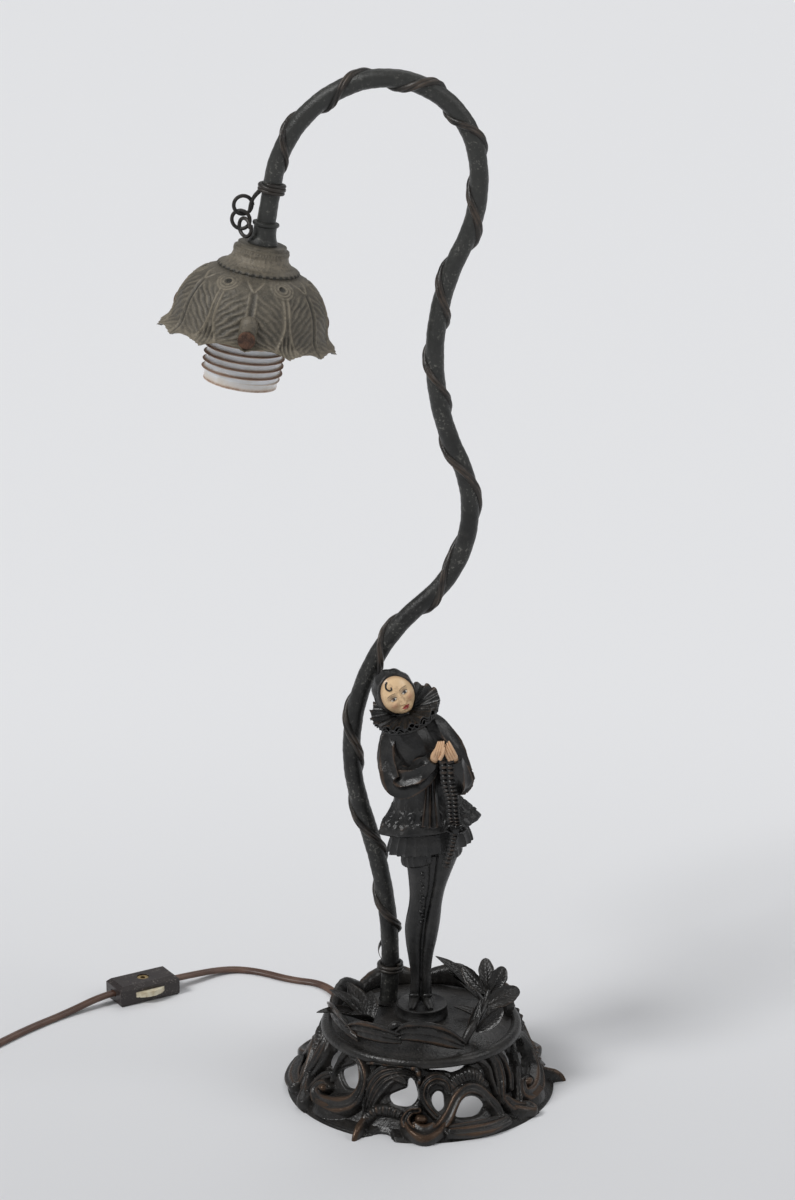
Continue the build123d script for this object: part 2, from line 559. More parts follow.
def vine():
    """Ribbon wound left-handed round the stem: a ruled loft through its sections."""
    sections = []
    inner = (STEM_R + 2 * SEAT) / cos(pi / VINE_STEPS)
    for n in range(int((VINE_TURNS - VINE_SKIP) * VINE_STEPS) + 1):
        turn = VINE_SKIP + n / VINE_STEPS
        length = vine_length(turn)
        spot, way = stem_spot(length)
        angle = -2 * pi * turn
        frame = Plane(origin=spot, x_dir=(0, -1, 0), z_dir=way)
        out = frame.x_dir * cos(angle) + frame.y_dir * sin(angle)
        around_stem = frame.x_dir * -sin(angle) + frame.y_dir * cos(angle)
        rise = (vine_length(turn + 0.5) - vine_length(turn - 0.5)) / (2 * pi)
        travel = (way * rise - around_stem * inner).normalized()
        across = out.cross(travel).normalized()
        corners = [spot + out * (inner + depth) + across * side
                   for depth, side in ((0, -VINE_W / 2), (VINE_T, -VINE_W / 4),
                                       (VINE_T, VINE_W / 4), (0, VINE_W / 2))]
        sections.append(Face(Wire.make_polygon(corners, close=True)))
    return loft(sections, ruled=True)


def wire_ring(middle, thick):
    """Ring of six-sided wire about Z."""
    return revolve(Plane.XZ * (Pos(middle, 0) * RegularPolygon(thick, 6)), Axis.Z)


def vine_rings(length):
    """Two turns of tendril tied round the stem."""
    tie = wire_ring(STEM_R + 2 * SEAT + VINE_RING_R, VINE_RING_R)
    return merge([on_stem(length, tie), on_stem(length + 1.5 * VINE_RING_R, tie)])


def tendril_curls():
    """Three linked tendril rings on a short stalk, beside the stem above the shade cap."""
    upright = Rot(90, 0, 0) * wire_ring(TENDRIL_RING_R, TENDRIL_R)
    rings = [Pos(x, STEM_Y + y, z) * (Rot(0, 0, turn) * upright) for x, y, z, turn in TENDRIL_RINGS]
    x, y, z, turn = TENDRIL_RINGS[0]
    stalk = limb([(x + 8.4, STEM_Y, z + 6.0, 1.2), (x + TENDRIL_RING_R, STEM_Y + y, z + 1.0, 0.9)])
    return merge([stalk] + rings)


# ================================================================ shade cap and lampholder
def cap_plane():
    """Frame of the shade cap: origin on the stem's end, Z down along the cap's axis, X to the front."""
    end = stem_total() + CAP_GAP
    spot, way = stem_spot(end)
    return Plane(origin=spot, x_dir=(0, -1, 0), z_dir=way)


def on_cap(shape):
    return cap_plane() * shape


def cap_part(low, high, outer, inner=0.0):
    """Plain ring or disc between two distances below the top plate."""
    body = Pos(0, 0, (low + high) / 2) * Cylinder(outer, high - low)
    return body - Pos(0, 0, (low + high) / 2) * Cylinder(inner, high - low) if inner else body


def shade_cap():
    """Bell with a stepped, beaded neck and a scalloped rim, and three bosses for the thumbscrews."""
    dome = CAP_DOME + [(CAP_RIM_R, CAP_RIM_T)]
    inner = [(r - CAP_WALL, t + 0.6) for r, t in dome[1:-1]]
    lip = (CAP_RIM_R - CAP_WALL, CAP_RIM_T + 0.3)
    shelf = SOCKET_TOP_T - SEAT
    outline = [
        Polyline((0, 0), (CAP_PLATE_R, 0), (CAP_PLATE_R, 1.8), (CAP_STEP_R, 2.4), (CAP_STEP_R, 4.4)),
        ThreePointArc((CAP_STEP_R, 4.4), (CAP_STEP_R + 1.0, 8.4), (CAP_NECK_R, 11.2)),
        Polyline((CAP_NECK_R, 11.2), (CAP_BEAD_R, 11.8), (CAP_BEAD_R, 13.8), dome[0]),
        Spline(*dome),
        Line(dome[-1], lip),
        Spline(lip, *reversed(inner)),
        Polyline(inner[0], (SOCKET_R + 0.8, shelf + 1.0), (SOCKET_R + 0.8, shelf),
                 (SOCKET_R - CAP_WALL, shelf), (CAP_STEP_R - CAP_WALL, 7.0),
                 (CAP_STEP_R - CAP_WALL, CAP_PLATE_T), (0, CAP_PLATE_T), (0, 0)),
    ]
    bell = revolve(Plane.XZ * make_face(Curve() + outline), Axis.Z)
    lobe = Pos(CAP_RIM_R, 0, CAP_RIM_T + 2.4) * (Rot(0, 90, 0) * Cylinder(4.0, 14))
    boss = radial(SCREW_T, CAP_DOME[4][0] - CAP_WALL, BOSS_FACE, BOSS_R)
    hole = radial(SCREW_T, SOCKET_R + 1.0, BOSS_FACE + 4.0, SCREW_SHANK_R + RUNNING)
    eye = radial(CAP_EYE_T, CAP_STEP_R, CAP_RIM_R, CAP_EYE_R)
    bell = merge([bell, *around(3, boss)])
    return bell.cut(*around(CAP_LOBES, lobe, 180 / CAP_LOBES), *around(3, hole), *around(3, eye, 30),
                    Cylinder(STEM_R + CLEARANCE, 3 * CAP_PLATE_T))


def radial(t, inner, outer, radius):
    """Round bar square to the cap's axis, towards the front, between two distances from it."""
    return Pos((inner + outer) / 2, 0, t) * (Rot(0, 90, 0) * Cylinder(radius, outer - inner))


def cap_collar():
    """Flared ferrule on the stem over the cap's top plate."""
    bore = STEM_R + SEAT
    outline = Polyline((bore, -SEAT), (7.4, -SEAT), (7.4, -2.0), (6.4, -4.4), (6.0, -9.6),
                       (6.9, -10.2), (6.9, -11.4), (bore, -11.8), close=True)
    return revolve(Plane.XZ * make_face(outline), Axis.Z)


def hex_nut(low, high, across, bore):
    nut = extrude(RegularPolygon(across, 6), amount=high - low)
    return Pos(0, 0, low) * (nut - Pos(0, 0, (high - low) / 2) * Cylinder(bore, high - low))


def porcelain_socket():
    """Porcelain lampholder body: a deep cup with a web at the top that the stem's end passes."""
    body = cap_part(SOCKET_TOP_T, SOCKET_MOUTH_T, SOCKET_R)
    cavity = cap_part(SOCKET_TOP_T + SOCKET_WEB, SOCKET_MOUTH_T, SOCKET_BORE_R)
    return body - cavity - cap_part(SOCKET_TOP_T, SOCKET_TOP_T + SOCKET_WEB, STEM_R + CLEARANCE)


def shell_insulator():
    """Fibre disc that carries the screw shell and the contact."""
    top = SHELL_TOP_T - INSULATOR_T
    disc = cap_part(top, SHELL_TOP_T, SOCKET_BORE_R - SEAT)
    holes = [Pos(0, side * TERMINAL_OUT, top + INSULATOR_T / 2) * Cylinder(1.6, INSULATOR_T)
             for side in (-1, 1)]
    recess = cap_part(SHELL_TOP_T - CONTACT_T - 2 * SEAT, SHELL_TOP_T, CONTACT_PAD_R + SEAT)
    return disc - cap_part(top, SHELL_TOP_T, CONTACT_R + SEAT) - recess - holes[0] - holes[1]


def screw_shell():
    return cap_part(SHELL_TOP_T + SEAT, SHELL_MOUTH_T, SHELL_R + SHELL_WALL, SHELL_R)


def centre_contact():
    """Contact pad let into the insulator at the bottom of the shell, on a stud through it."""
    stud = cap_part(SHELL_TOP_T - INSULATOR_T - 1.0, SHELL_TOP_T - SEAT, CONTACT_R)
    return stud + cap_part(SHELL_TOP_T - CONTACT_T - SEAT, SHELL_TOP_T - SEAT, CONTACT_PAD_R)


def terminal_screws():
    top = SHELL_TOP_T - INSULATOR_T
    screws = []
    for side in (-1, 1):
        shank = Pos(0, side * TERMINAL_OUT, top + INSULATOR_T / 2) * Cylinder(1.5, INSULATOR_T)
        head = Pos(0, side * TERMINAL_OUT, top - 0.9) * Cylinder(2.6, 1.6)
        screws.append(shank + head)
    return screws


def thumbscrew_shank(number):
    """Threaded shank of a thumbscrew, from inside the cap to the head's inner face."""
    bar = radial(SCREW_T, SCREW_HEAD_FACE - SCREW_LENGTH, SCREW_HEAD_FACE - SEAT, SCREW_SHANK_R)
    return Rot(0, 0, 120.0 * number) * bar


def thumbscrew_head(number):
    """Flat knurled head, with a shallow rim."""
    outer = SCREW_HEAD_FACE + SCREW_HEAD_T
    head = radial(SCREW_T, SCREW_HEAD_FACE, outer, SCREW_HEAD_R)
    dish = radial(SCREW_T, outer - 0.4, outer, SCREW_HEAD_R - 0.8)
    return Rot(0, 0, 120.0 * number) * (head - dish)


# ================================================================ figure
def oval_loft(rings):
    """Loft through flat ovals: (x, y, z, half width, half depth, tilt in degrees)."""
    faces = []
    for x, y, z, rx, ry, tilt in rings:
        faces.append(Pos(x, y, z) * (Rot(0, -tilt, 0) * Ellipse(rx, ry)))
    return loft([face.face() for face in faces])


def plinth():
    disc = Pos(*PLINTH_AT, TRAY_TOP + SEAT + PLINTH_H / 2) * Cylinder(PLINTH_R, PLINTH_H)
    return chamfer(disc.edges().group_by(Axis.Z)[-1], 0.8)


LEG_LEFT = [(-3.4, 1.0, 52.0, 2.9, 3.6), (-3.1, 1.0, 66.5, 2.9, 3.4), (-3.5, 1.0, 74.0, 3.5, 4.0),
            (-4.0, 1.4, 84.0, 4.5, 5.2), (-3.6, 1.4, 94.0, 5.3, 5.8), (-1.6, 0.6, 108.0, 5.1, 5.4),
            (-0.6, 0.4, 119.0, 6.3, 6.6), (-1.0, 0.4, 134.0, 7.6, 8.0)]
LEG_RIGHT = [(3.0, 1.0, 52.0, 2.8, 3.4), (2.6, 1.0, 66.5, 2.7, 3.2), (3.1, 1.0, 76.0, 3.2, 3.8),
             (4.6, 1.4, 87.0, 4.0, 5.0), (6.0, 1.4, 98.0, 4.3, 5.4), (7.3, 0.6, 108.0, 3.9, 5.0),
             (9.4, 0.4, 119.0, 4.3, 6.2), (13.0, 0.4, 136.0, 7.0, 7.8)]


def figure_legs():
    """Plinth, shoes and stockinged legs, cast in one, with a tapped hole for the fixing screw."""
    legs = [oval_loft([(*spot, 0.0) for spot in side]) for side in (LEG_LEFT, LEG_RIGHT)]
    floor = TRAY_TOP + SEAT + PLINTH_H
    shoes = [limb([(-3.4, 1.2, floor + 2.4, 3.2), (-4.6, -6.5, floor + 1.4, 2.5), (-5.2, -11.6, floor, 1.3)]),
             limb([(2.8, 1.2, floor + 2.4, 3.1), (4.4, -6.0, floor + 1.4, 2.4), (5.6, -11.0, floor, 1.3)])]
    hole = Pos(*PLINTH_AT, TRAY_TOP) * Cylinder(FIGURE_SCREW_R + SEAT, 2 * (FIGURE_SCREW_IN + 0.4))
    body = merge([plinth(), *legs, *shoes])
    return body.cut(hole, Pos(*PLINTH_AT, TRAY_TOP + SEAT - 5) * Cylinder(30, 10))


def garment(rings):
    """Bell-shaped layer of the costume, tilted with the hips."""
    return oval_loft([(*spot, HIP_TILT) for spot in rings])


def costume():
    """Smock with wide sleeves and a flared hem, short flounced breeches and gathered cuffs."""
    cuffs = [garment([(-1.6, 0.4, 131.2, 9.2, 8.4), (-1.4, 0.4, 139.5, 9.0, 8.6)]),
             garment([(14.0, 0.4, 135.4, 7.4, 8.2), (13.6, 0.4, 145.0, 7.8, 8.4)])]
    flounce = garment([(4.4, 0.6, 140.2, 22.0, 14.0), (4.2, 0.6, 146.5, 21.2, 13.6),
                       (3.8, 0.6, 156.0, 18.0, 12.0)])
    smock = oval_loft([(3.9, 0.4, 152.6, 26.4, 16.4, HIP_TILT), (3.8, 0.4, 154.4, 26.0, 16.2, HIP_TILT),
                       (2.8, 0.2, 162.0, 19.6, 13.4, HIP_TILT), (2.0, 0.0, 171.0, 16.2, 11.8, HIP_TILT / 2),
                       (0.6, -0.4, 183.0, 15.6, 11.4, 0.0),
                       (-2.4, -0.6, 196.0, 16.2, 11.4, -4.0), (-5.0, -0.6, 206.0, 15.4, 10.6, -10.0),
                       (-7.4, -0.8, 213.0, 9.6, 8.0, -12.0), (-9.0, -1.0, 219.0, 5.6, 5.6, -14.0)])
    left = limb([(-15.4, -1.6, 203.0, 6.6), (-15.6, -5.0, 192.0, 7.2), (-11.6, -9.0, 180.6, 8.6),
                 (-2.4, -12.6, 186.0, 6.4), (5.6, -13.6, 194.6, 4.4)])
    right = limb([(6.6, -1.4, 209.0, 6.4), (14.6, -4.0, 198.0, 7.0), (18.4, -6.4, 184.4, 7.4),
                  (17.8, -12.0, 190.8, 5.4), (16.4, -14.4, 196.0, 4.2)])
    return merge([smock, flounce, *cuffs, left, right])


def ruff():
    """Pleated collar: a shallow dished ring round the neck, tilted towards the front and left."""
    outline = Polyline((4.0, -4.6), (14.0, -3.6), (RUFF_R, 1.4), (RUFF_R - 0.6, 3.6),
                       (13.0, 0.4), (4.0, 0.6), close=True)
    dish = revolve(Plane.XZ * make_face(outline), Axis.Z)
    notch = Pos(RUFF_R + 0.8, 0, 1.0) * Cylinder(1.9, 12)
    pleat = Pos(RUFF_R - 4.0, 0, 4.4) * (Rot(0, 78, 0) * Cylinder(1.5, 12))
    half = 180 / RUFF_PLEATS
    return Pos(*RUFF_AT) * (Rot(*RUFF_TILT) * dish.cut(*around(RUFF_PLEATS, notch),
                                                       *around(RUFF_PLEATS, pleat, half)))


def head_ball(grow):
    rx, ry, rz = (r + grow for r in HEAD_R)
    ball = scale(Sphere(1.0), by=(rx, ry, rz))
    return Pos(*HEAD_AT) * (Rot(HEAD_NOD, HEAD_TILT, 0) * (Rot(0, 0, HEAD_LOOK) * ball))


def face_window(grow):
    """Oval prism in front of the head, square to the face: everything inside it is face."""
    oval = extrude(Plane.XZ * Ellipse(FACE_HALF_W + grow, FACE_HALF_H + grow), amount=30)
    return Pos(*HEAD_AT) * (Rot(HEAD_NOD, HEAD_TILT, 0) * (Rot(0, 0, HEAD_LOOK) * Pos(0, 0, -0.8) * oval))


def face_plate():
    """Ivory-coloured face set into the hood, with a plain nose, brow and chin."""
    mask = head_ball(FACE_PROUD) & face_window(-SEAT)
    core = head_ball(-FACE_SET)
    nose = Pos(*HEAD_AT) * (Rot(HEAD_NOD, HEAD_TILT, 0) * (Rot(0, 0, HEAD_LOOK) * (
        Pos(0, -HEAD_R[1] - 0.2, -1.6) * scale(Sphere(1.0), by=(1.2, 1.7, 2.9)))))
    return merge([mask - core, nose - core])


def hood():
    """Close cap over the head, with the recess that the face sits in."""
    recess = (face_window(0.0) & head_ball(5.0)) - head_ball(-FACE_SET - SEAT)
    return head_ball(0.0) - recess


def hands():
    """Clasped hands on short wrists."""
    left = limb([(7.4, -16.6, 196.0, 2.3), (9.4, -18.6, 201.0, 2.6), (11.0, -19.2, 206.0, 1.5)])
    right = limb([(15.2, -17.2, 197.4, 2.4), (13.0, -18.8, 201.4, 2.6), (11.4, -19.6, 206.4, 1.4)])
    return merge([left, right])


RIBBON_LEFT = [(9.6, -18.4, 193.0), (9.4, -17.4, 180.0), (11.6, -17.4, 168.0), (16.4, -19.0, 155.0),
               (18.6, -17.4, 144.0), (17.2, -13.6, 130.0)]
RIBBON_RIGHT = [(14.0, -18.4, 192.6), (13.8, -17.4, 180.0), (15.6, -17.4, 168.0), (18.2, -19.0, 156.0)]


def ruched(spots, steps=5):
    """Gathered ribbon through a chain of points: flat sections that swell and shrink in turn."""
    path = Spline(*spots)
    count = steps * (len(spots) - 1)
    sections = []
    for n in range(count + 1):
        frame = Plane(origin=path @ (n / count), x_dir=(1, 0, 0), z_dir=path % (n / count))
        swell = RIBBON_W if n % 2 else RIBBON_W * 0.78
        sections.append((frame * Rectangle(swell, RIBBON_T)).face())
    return loft(sections, ruled=True)


def ribbons():
    """Two ruched ribbons that hang from the hands to the knee, with a knot at the hem."""
    knot = Pos(18.0, -18.6, 152.0) * (Rot(0, 20, 0) * scale(Sphere(1.0), by=(3.4, 2.2, 4.2)))
    return merge([ruched(RIBBON_LEFT), ruched(RIBBON_RIGHT), knot])


def figure_screw():
    """Cheese-head screw up through the tray into the plinth."""
    under = TRAY_TOP - TRAY_WALL
    head = Pos(*PLINTH_AT, under - SEAT - 1.2) * Cylinder(2 * FIGURE_SCREW_R, 2.4)
    low, high = under - SEAT, TRAY_TOP + FIGURE_SCREW_IN
    return head + Pos(*PLINTH_AT, (low + high) / 2) * Cylinder(FIGURE_SCREW_R, high - low)


# ================================================================ cord, switch and plug
def flat_tube(points):
    """Flat cord along straight runs joined by arcs that are as large as the runs allow."""
    corners = [Vector(*p) for p in points]
    runs = [(b - a).length for a, b in zip(corners, corners[1:])]
    radii = []
    for a, b, c, before, after in zip(corners, corners[1:], corners[2:], runs, runs[1:]):
        turn = radians((b - a).get_angle(c - b))
        radii.append(0.45 * min(before, after) / tan(turn / 2))
    path = FilletPolyline(*corners, radius=radii)
    print("cord: length", round(path.length, 1), "least radius", round(min(radii), 1))
    start = Plane(origin=path @ 0, x_dir=(path % 0).cross(Vector(0, 0, 1)), z_dir=path % 0)
    tube = sweep(start * Rectangle(CORD_W, CORD_T), path=path)
    print("cord: volume over section times length", round(tube.volume / (CORD_W * CORD_T * path.length), 4))
    return tube


def switch_frame():
    return Plane(origin=(*SWITCH_AT, 0), z_dir=(0, 0, 1)).rotated((0, 0, SWITCH_TURN))


def switch_box(length, width, low, high, at=0.0):
    """Block on the switch's axes, between two heights over the floor."""
    return switch_frame() * (Pos(at, 0, (low + high) / 2) * Box(length, width, high - low))


def switch_disc(low, high, radius):
    return switch_frame() * (Pos(0, 0, (low + high) / 2) * Cylinder(radius, high - low))


def switch_half(low, high, bevel, outer_z):
    """One moulded half: bevelled outside, with room for the wheel, the rivet and the cord's ends."""
    middle = SWITCH_H / 2
    block = switch_box(SWITCH_L, SWITCH_W, low, high)
    face = block.faces().sort_by(Axis.Z)[-1 if outer_z > middle else 0]
    block = chamfer(face.edges(), bevel)
    cavity = switch_disc(middle - WHEEL_T / 2 - CLEARANCE, middle + WHEEL_T / 2 + CLEARANCE,
                         WHEEL_R + CLEARANCE)
    half_slot = CORD_T / 2 + CORD_FIT
    slots = [switch_box(CORD_INTO_SWITCH, CORD_W + 2 * CORD_FIT, middle - half_slot, middle + half_slot,
                        side * (SWITCH_L - CORD_INTO_SWITCH) / 2) for side in (-1, 1)]
    rim = switch_disc(min(outer_z, outer_z + (middle - outer_z) / 6),
                      max(outer_z, outer_z + (middle - outer_z) / 6), RIVET_R + 1.6)
    bore = switch_disc(0, SWITCH_H, RIVET_R + SEAT)
    return block.cut(cavity, *slots, rim, bore)


def switch_housing_lower():
    pockets = [switch_box(CONTACT_L + 2 * SEAT, CONTACT_W + 2 * SEAT, 2.2, SWITCH_H / 2, side * CONTACT_OUT)
               for side in (-1, 1)]
    return switch_half(0.0, SWITCH_H / 2, 1.0, 0.0).cut(*pockets)


def switch_housing_upper():
    return switch_half(SWITCH_H / 2, SWITCH_H, 2.2, SWITCH_H)


def switch_wheel():
    """Thumbwheel with a notched edge, which turns about the rivet."""
    middle = SWITCH_H / 2
    disc = Cylinder(WHEEL_R, WHEEL_T) - Cylinder(RIVET_R + RUNNING, WHEEL_T)
    notch = Pos(WHEEL_R + 0.2, 0, 0) * Cylinder(0.6, WHEEL_T)
    return switch_frame() * (Pos(0, 0, middle) * disc.cut(*around(WHEEL_NOTCHES, notch)))


def switch_rivet():
    """Tubular brass rivet with a rolled rim at each end."""
    rim = SWITCH_H / 12
    barrel = switch_disc(rim / 2, SWITCH_H - rim / 2, RIVET_R)
    rims = [switch_disc(rim / 2, rim - SEAT / 2, RIVET_R + 1.2),
            switch_disc(SWITCH_H - rim + SEAT / 2, SWITCH_H - rim / 2, RIVET_R + 1.2)]
    return merge([barrel, *rims]).cut(switch_disc(0, SWITCH_H, RIVET_R - 0.6))


def switch_contacts():
    """Two brass strips in the lower half, under the wheel."""
    top = (SWITCH_H - WHEEL_T) / 2 - CLEARANCE
    return [switch_box(CONTACT_L, CONTACT_W, 2.2 + SEAT, top - SEAT, side * CONTACT_OUT) for side in (-1, 1)]


def switch_port(side):
    """Point inside the switch where the cord ends, and the direction out of it."""
    a = radians(SWITCH_TURN)
    out = SWITCH_L / 2 - CORD_INTO_SWITCH
    x, y = SWITCH_AT[0] + side * out * cos(a), SWITCH_AT[1] + side * out * sin(a)
    return (x, y, SWITCH_H / 2), (side * cos(a), side * sin(a))


CORD_Z = CORD_T / 2 + FLOOR_GAP     # middle of the cord where it lies on the floor
LAYER_Z = CORD_T + COIL_GAP         # rise from the coil's lower layer to its upper one
COIL_STEP = (CORD_W + COIL_GAP) / 2     # each half turn of the coil is this much smaller


def cord_exit():
    """Middle of the bushing's outer face, and the direction out of it."""
    a = radians(BUSHING_HEADING)
    reach = BUSHING_AT + BUSHING_L / 2
    return (reach * sin(a), -reach * cos(a), BUSHING_Z), (sin(a), -cos(a))


def near_route():
    """From the lamp's bushing, over the floor behind the base, to the switch."""
    (x, y, z), (dx, dy) = cord_exit()
    port, (px, py) = switch_port(1)
    lead = CORD_INTO_SWITCH + 7.0
    return [(x, y, z), (x + 13 * dx, y + 13 * dy, z - 1.2), (-38.0, 91.0, 2.2), (-45.5, 109.5, CORD_Z),
            (-57.0, 131.0, CORD_Z), (-76.0, 136.0, CORD_Z), (-96.0, 149.0, CORD_Z),
            (-115.0, 151.0, CORD_Z + 0.6), (port[0] + lead * px, port[1] + lead * py, port[2]), port]


def coil_entry():
    """Where the cord runs into the coil's outer turn, and its direction there."""
    a = radians(COIL_START)
    return ((COIL_AT[0] + COIL_R * cos(a), COIL_AT[1] + COIL_R * sin(a), CORD_Z), (sin(a), -cos(a)))


def far_route():
    """From the switch, over the floor and out of sight to the left, into the coil."""
    port, (px, py) = switch_port(-1)
    (x, y, z), (dx, dy) = coil_entry()
    lead = CORD_INTO_SWITCH + 7.0
    return [port, (port[0] + lead * px, port[1] + lead * py, port[2]), (-203.0, 89.0, CORD_Z),
            (-222.5, 68.5, CORD_Z), (x - 34 * dx, y - 34 * dy, CORD_Z), (x, y, z)]


def coil_half_turns():
    """Radii of the coil's half turns: in on the lower layer, one that climbs, out on the upper."""
    inward = [COIL_R - n * COIL_STEP for n in range(COIL_HALF_TURNS)]
    climb = COIL_R - COIL_HALF_TURNS * COIL_STEP
    return inward, climb, [climb + n * COIL_STEP for n in range(1, COIL_HALF_TURNS)]


def coil_layer(x, side, radii, z):
    """Flat spiral of half turns from x on the coil's own axis: its solid, last x and next side."""
    outer, inner = [], []
    for r in radii:
        after = x - side * 2 * r
        middle = (x - side * r, -side * r)
        for rim, grow in ((outer, CORD_W / 2), (inner, -CORD_W / 2)):
            rim.append(ThreePointArc((x + side * grow, 0), (middle[0], middle[1] - side * grow),
                                     (after - side * grow, 0)))
        x, side = after, -side
    start = Line(outer[0] @ 0, inner[0] @ 0)
    end = Line(outer[-1] @ 1, inner[-1] @ 1)
    face = make_face(Curve() + [*outer, *inner, start, end])
    return Pos(0, 0, z - CORD_T / 2) * extrude(face, amount=CORD_T), x, side


def coil_climb(x, side, radius):
    """Half turn that rises from the lower layer to the upper one, as a ruled loft."""
    centre = x - side * radius
    faces = []
    steps = 12
    for n in range(steps + 1):
        share = n / steps
        angle = -pi * share if side > 0 else pi - pi * share
        z = CORD_Z + LAYER_Z * (1 - cos(pi * share)) / 2
        out = Vector(cos(angle), sin(angle), 0)
        middle = Vector(centre, 0, z) + out * radius
        frame = Plane(origin=middle, x_dir=out, z_dir=out.cross(Vector(0, 0, 1)))
        faces.append((frame * Rectangle(CORD_W, CORD_T)).face())
    return loft(faces, ruled=True), x - side * 2 * radius, -side


def coil_place(shape):
    return Pos(*COIL_AT, 0) * (Rot(0, 0, COIL_START) * shape)


def cord_coil():
    """The put-away cord: one unbroken flat cord, wound in, up a layer and out again."""
    inward, climb, outward = coil_half_turns()
    lower, x, side = coil_layer(COIL_R, 1, inward, CORD_Z)
    ramp, x, side = coil_climb(x, side, climb)
    upper, x, side = coil_layer(x, side, outward, CORD_Z + LAYER_Z)
    length = pi * (sum(inward) + climb + sum(outward))
    print("coil: length", round(length, 1), "least gap to itself", round(coil_least_gap(), 2))
    return coil_place(merge([lower, ramp, upper]))


def coil_points(step=6):
    """Middle points of the coil with their distance along it, for the gap measure."""
    inward, climb, outward = coil_half_turns()
    points, x, side, walked = [], COIL_R, 1, 0.0
    runs = [(r, 0.0, 0.0) for r in inward] + [(climb, 0.0, 1.0)] + [(r, 1.0, 1.0) for r in outward]
    for radius, low, high in runs:
        for degree in range(0, 180, step):
            angle = radians(-degree if side > 0 else 180 - degree)
            share = (1 - cos(pi * degree / 180)) / 2 if low != high else 0.0
            z = CORD_Z + LAYER_Z * (low + (high - low) * share)
            points.append((x - side * radius + radius * cos(angle), radius * sin(angle), z,
                           walked + radius * radians(degree)))
        walked += pi * radius
        x, side = x - side * 2 * radius, -side
    return points


def coil_least_gap():
    """Least gap between stretches of the coil that lie beside or over each other."""
    points = coil_points()
    least = COIL_R
    for n, (ax, ay, az, aw) in enumerate(points):
        for bx, by, bz, bw in points[n + 1:]:
            if bw - aw > 6 * CORD_W:
                across, up = hypot(bx - ax, by - ay), abs(bz - az)
                least = min(least, max(across - CORD_W, up - CORD_T))
    return least


def coil_end():
    """Where the cord leaves the coil's upper layer, and its direction there."""
    inward, climb, outward = coil_half_turns()
    x, side = COIL_R, 1
    for radius in [*inward, climb, *outward]:
        x, side = x - side * 2 * radius, -side
    a = radians(COIL_START)
    turn = -side
    return ((COIL_AT[0] + x * cos(a), COIL_AT[1] + x * sin(a), CORD_Z + LAYER_Z),
            (-turn * sin(a), turn * cos(a)))


def plug_place():
    """Frame of the plug: X along it, away from the cord, origin in the middle of its back."""
    (x, y, _), (dx, dy) = coil_end()
    turn = radians(PLUG_BEND)
    ax, ay = dx * cos(turn) - dy * sin(turn), dx * sin(turn) + dy * cos(turn)
    start = (x + TAIL_RUN * dx + TAIL_RUN * ax, y + TAIL_RUN * dy + TAIL_RUN * ay)
    return Plane(origin=(*start, PLUG_H / 2), x_dir=(ax, ay, 0), z_dir=(0, 0, 1))


def tail_route():
    """From the coil's upper layer to the plug beside it."""
    (x, y, z), (dx, dy) = coil_end()
    plug = plug_place()
    back, before = plug.origin, plug.origin - plug.x_dir * (TAIL_RUN / 2)
    return [(x, y, z), (x + TAIL_RUN * dx, y + TAIL_RUN * dy, z), tuple(before), tuple(back)]


def plug_body():
    """Moulded two-pin plug body with a tapered back and finger grooves."""
    back = Plane.YZ * RectangleRounded(CORD_W + 3.0, CORD_T + 4.4, 1.4)
    neck = Pos(7.0, 0, 0) * (Plane.YZ * RectangleRounded(PLUG_W - 3.0, PLUG_H - 1.4, 2.4))
    front = Pos(PLUG_L, 0, 0) * (Plane.YZ * RectangleRounded(PLUG_W, PLUG_H, 2.4))
    body = loft([back.face(), neck.face()], ruled=True) + loft([neck.face(), front.face()], ruled=True)
    grooves = [Pos(11.0 + 4.0 * n, side * (PLUG_W / 2 + 0.6), 0) * Cylinder(1.2, PLUG_H)
               for n in range(3) for side in (-1, 1)]
    slots = [Pos(PLUG_L, side * BLADE_PITCH / 2, 0) * Box(2 * BLADE_IN, BLADE_T, BLADE_W) for side in (-1, 1)]
    return plug_place() * body.cut(*grooves, *slots)


def plug_blades():
    """Two flat brass blades, each with a hole near its tip."""
    length = BLADE_L + BLADE_IN
    blades = []
    for side in (-1, 1):
        blade = Pos(PLUG_L - BLADE_IN + length / 2, side * BLADE_PITCH / 2, 0) * Box(length, BLADE_T, BLADE_W)
        blade = chamfer(blade.edges().filter_by(Axis.Y).group_by(Axis.X)[-1], 1.4)
        hole = Pos(PLUG_L + BLADE_L - 4.0, side * BLADE_PITCH / 2, 0) * (Rot(90, 0, 0) * Cylinder(1.6, 4))
        blades.append(plug_place() * (blade - hole))
    return blades


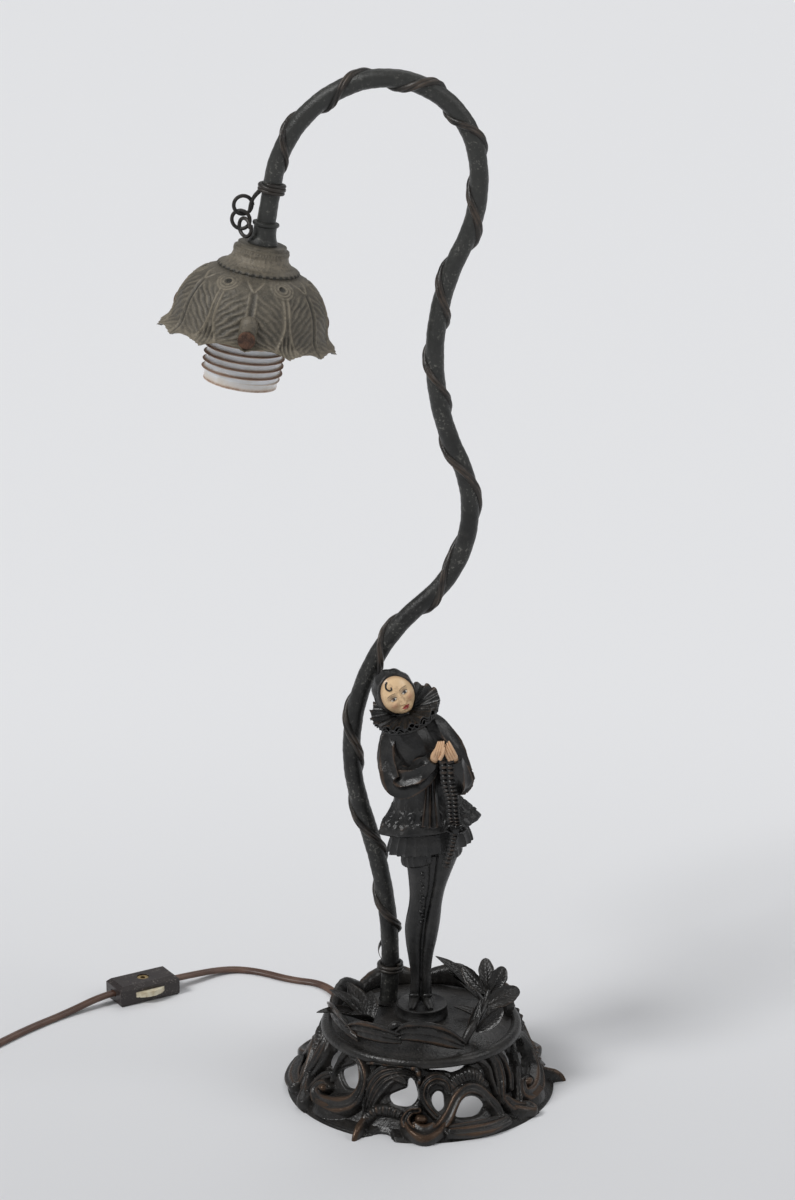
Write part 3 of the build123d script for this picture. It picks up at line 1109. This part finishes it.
def stem_lead():
    """Twin lead from the bushing, under the tray and up inside the stem to the lampholder."""
    a = radians(BUSHING_HEADING)
    inner = BUSHING_AT - BUSHING_L / 2
    x, y = inner * sin(a), -inner * cos(a)
    point, way, *_ = stem_runs(-STEM_TAIL, 0)[0]
    foot = (point[0], STEM_Y, point[1])
    below = (foot[0] - 9 * cos(way), STEM_Y, foot[2] - 9 * sin(way))
    route = [(x, y, BUSHING_Z), (x - 11 * sin(a), y + 11 * cos(a), BUSHING_Z), (-16.5, 31.0, 7.6),
             (-19.0, 20.4, 12.6), below, foot]
    corners = [Vector(*p) for p in route]
    runs = [(b - c).length for b, c in zip(corners, corners[1:])]
    radii = [0.45 * min(runs[n], runs[n + 1])
             / tan(radians((corners[n + 1] - corners[n]).get_angle(corners[n + 2] - corners[n + 1])) / 2)
             for n in range(len(runs) - 1)]
    path = FilletPolyline(*corners, radius=radii)
    start = Plane(origin=path @ 0, x_dir=(path % 0).cross(Vector(0, 0, 1)), z_dir=path % 0)
    low = sweep(start * Rectangle(CORD_W, CORD_T), path=path)
    return low.fuse(stem_rod(Rectangle(CORD_T, CORD_W), -STEM_TAIL, stem_total() + CAP_GAP + LEAD_INTO_CAP))


def solids_of(shape, least=0.5):
    """The solids of a shape without the crumbs that a cut leaves."""
    return [solid for solid in shape.solids() if solid.volume > least]


def main():
    os.makedirs("parts", exist_ok=True)
    tray = base_tray()
    save("base_skirt", base_skirt())
    save("base_tray", tray)
    save("base_screws", *base_screws())
    save("cord_bushing", cord_bushing())
    legs, clothes = figure_legs(), costume()
    front, back = leaf_band(FRONT_LEAVES, 46.0), leaf_band(BACK_LEAVES, 46.5)
    save("leaf_band_front", *solids_of(front.cut(tray)))
    save("leaf_band_back", *solids_of(back.cut(tray)))
    save("leaf_spray_left", *solids_of(leaf_spray_left().cut(tray, front, back)))
    right = leaf_spray_right().cut(tray, front, back)
    save("leaf_spray_right", *solids_of(right))
    save("leaf_spray_back", *solids_of(leaf_spray_back().cut(tray, front, back, right)))

    tube = stem_tube()
    save("stem_tube", tube)
    save("stem_washer", stem_washer())
    save("stem_lock_nut", stem_lock_nut())
    save("stem_lead", stem_lead())
    save("vine", vine())
    upper_tie = vine_rings(vine_length(VINE_TURNS) + 6.0)
    curls = tendril_curls().cut(tube, upper_tie)
    save("vine_ties", vine_rings(vine_length(0.0) - 2.0), upper_tie, *solids_of(curls, 1.0))

    save("shade_cap", on_cap(shade_cap()))
    save("cap_collar", on_cap(cap_collar()))
    under_plate = CAP_PLATE_T + SEAT
    save("cap_lock_nut", on_cap(hex_nut(under_plate, under_plate + NUT_H, NUT_ACROSS, STEM_R + RUNNING)))
    save("porcelain_socket", on_cap(porcelain_socket()))
    web = SOCKET_TOP_T + SOCKET_WEB + SEAT
    save("socket_lock_nut", on_cap(hex_nut(web, web + NUT_H, NUT_ACROSS, STEM_R + RUNNING)))
    save("shell_insulator", on_cap(shell_insulator()))
    save("screw_shell", on_cap(screw_shell()))
    save("centre_contact", on_cap(centre_contact()))
    save("terminal_screws", *[on_cap(screw) for screw in terminal_screws()])
    for number in range(3):
        save(f"thumbscrew_{number + 1}_shank", on_cap(thumbscrew_shank(number)))
        save(f"thumbscrew_{number + 1}_head", on_cap(thumbscrew_head(number)))

    collar = ruff()
    clasped = hands()
    head_room = head_ball(FACE_PROUD + SEAT)
    clothes = clothes.cut(head_room)
    save("figure_legs", *solids_of(legs.cut(clothes)))
    save("figure_costume", *solids_of(clothes.cut(clasped)))
    save("figure_ruff", *solids_of(collar.cut(head_room).cut(clothes)))
    save("figure_hood", hood())
    save("figure_face", face_plate())
    save("figure_hands", clasped)
    save("figure_ribbons", *solids_of(ribbons().cut(clothes, clasped)))
    save("figure_screw", figure_screw())

    save("switch_housing_lower", switch_housing_lower())
    save("switch_housing_upper", switch_housing_upper())
    save("switch_wheel", switch_wheel())
    save("switch_rivet", switch_rivet())
    save("switch_contacts", *switch_contacts())
    save("cord_near", flat_tube(near_route()))
    save("cord_far", flat_tube(far_route()))
    save("cord_coil", cord_coil())
    save("cord_tail", flat_tube(tail_route()))
    save("plug_body", plug_body())
    save("plug_blades", *plug_blades())


if __name__ == "__main__":
    main()
